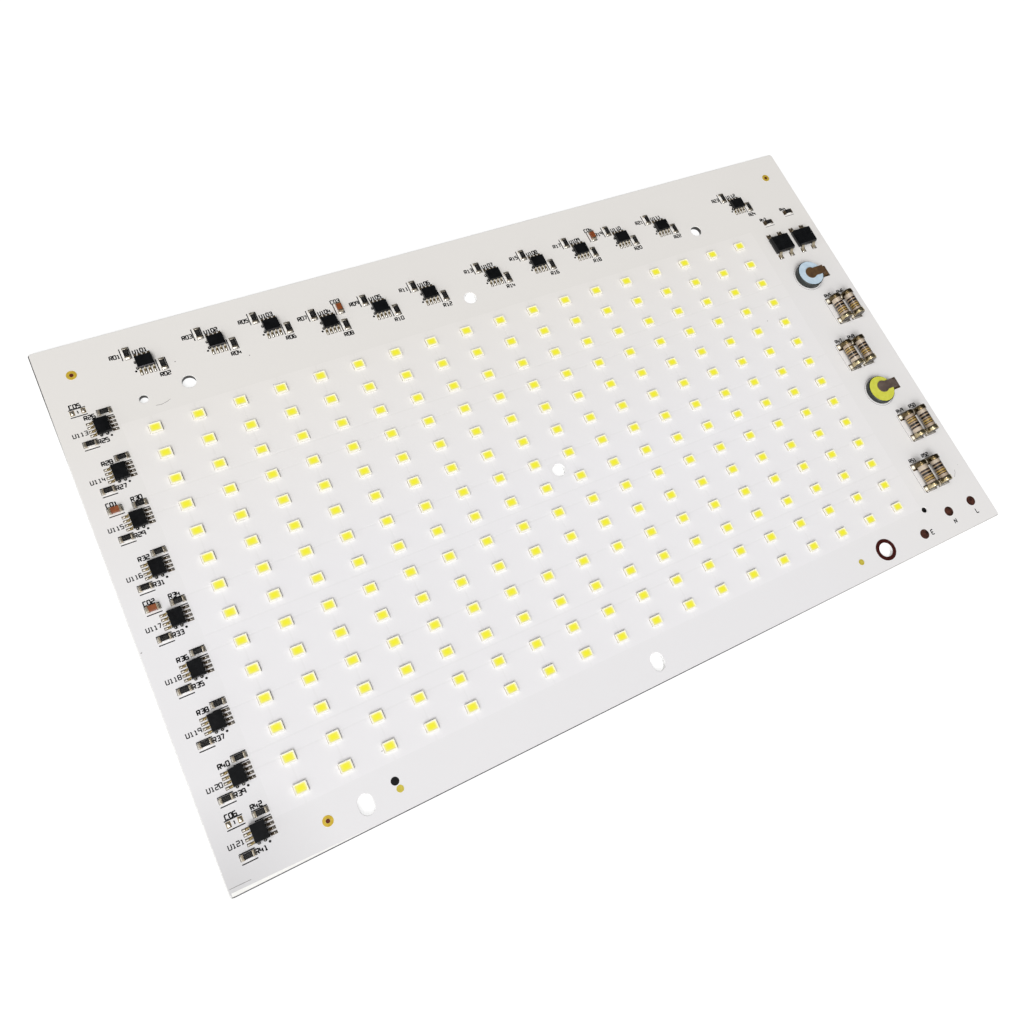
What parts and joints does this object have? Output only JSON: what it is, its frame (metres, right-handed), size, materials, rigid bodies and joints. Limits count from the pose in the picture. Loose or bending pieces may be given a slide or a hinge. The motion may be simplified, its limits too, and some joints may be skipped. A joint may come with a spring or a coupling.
{
  "type": "driver-on-board led module",
  "caption": "Flat rectangular aluminium circuit board with a white face, a grid of small yellow LEDs, driver ICs along two edges and mains input parts along one side.",
  "frame": {"origin": "middle of the board's flat back", "axes": "+X along the board's length, +Y across its width towards the driver row, +Z out of the component side"},
  "size_m": [0.27, 0.161, 0.0058],
  "materials": {
    "aluminium": "punched sheet, fine grain",
    "white_mask": "white solder mask, satin",
    "bare_copper": "oxidised copper, satin",
    "earth_copper": "oxidised copper, satin",
    "gold": "gold flash, polished",
    "empty_copper": "flux-coated copper, satin",
    "solder": "bright solder",
    "led_white": "moulded white resin",
    "phosphor": "phosphor in clear silicone",
    "led_tin": "tinned",
    "driver_black": "moulded epoxy, fine grain",
    "driver_lead": "tinned copper",
    "chip_ceramic": "alumina, matt",
    "chip_tin": "tinned",
    "coat_glass": "glassy overcoat",
    "capacitor_brown": "fired ceramic, satin",
    "bridge_black": "moulded epoxy, fine grain",
    "bridge_lead": "tinned copper",
    "varistor_ceramic": "dark fired ceramic",
    "electrode_blue": "satin electrode",
    "electrode_yellow": "satin electrode",
    "strap_metal": "dull tinned copper strip",
    "rod_lacquer": "beige lacquer with painted bands",
    "cap_metal": "pressed tinned cap, bright"
  },
  "bodies": {
    "root": {"aluminium_base": "aluminium", "white_face": "white_mask", "terminal_lands": "bare_copper", "earth_ring": "earth_copper", "guide_rings": "gold", "guide_dots": "gold", "empty_lands": "empty_copper", "driver_lands": "solder", "chip_lands": "solder", "power_lands": "solder", "led_bodies_1": "led_white", "led_bodies_2": "led_white", "led_bodies_3": "led_white", "led_bodies_4": "led_white", "led_bodies_5": "led_white", "led_bodies_6": "led_white", "led_bodies_7": "led_white", "led_fills_1": "phosphor", "led_fills_2": "phosphor", "led_fills_3": "phosphor", "led_fills_4": "phosphor", "led_fills_5": "phosphor", "led_fills_6": "phosphor", "led_fills_7": "phosphor", "led_terminals_1": "led_tin", "led_terminals_2": "led_tin", "led_terminals_3": "led_tin", "led_terminals_4": "led_tin", "led_terminals_5": "led_tin", "led_terminals_6": "led_tin", "led_terminals_7": "led_tin", "row_driver_bodies": "driver_black", "row_driver_leads": "driver_lead", "column_driver_bodies": "driver_black", "column_driver_leads": "driver_lead", "row_resistor_chips": "chip_ceramic", "row_resistor_ends": "chip_tin", "column_resistor_chips": "chip_ceramic", "column_resistor_ends": "chip_tin", "resistor_coats": "coat_glass", "capacitor_bodies": "capacitor_brown", "capacitor_ends": "chip_tin", "bridge_1_body": "bridge_black", "bridge_1_leads": "bridge_lead", "bridge_2_body": "bridge_black", "bridge_2_leads": "bridge_lead", "varistor_1_disc": "varistor_ceramic", "varistor_1_electrode": "electrode_blue", "varistor_1_strap": "strap_metal", "varistor_2_disc": "varistor_ceramic", "varistor_2_electrode": "electrode_yellow", "varistor_2_strap": "strap_metal", "pair_1_rods": "rod_lacquer", "pair_1_caps": "cap_metal", "pair_2_rods": "rod_lacquer", "pair_2_caps": "cap_metal", "pair_3_rods": "rod_lacquer", "pair_3_caps": "cap_metal", "pair_4_rods": "rod_lacquer", "pair_4_caps": "cap_metal"}
  },
  "joints": []
}
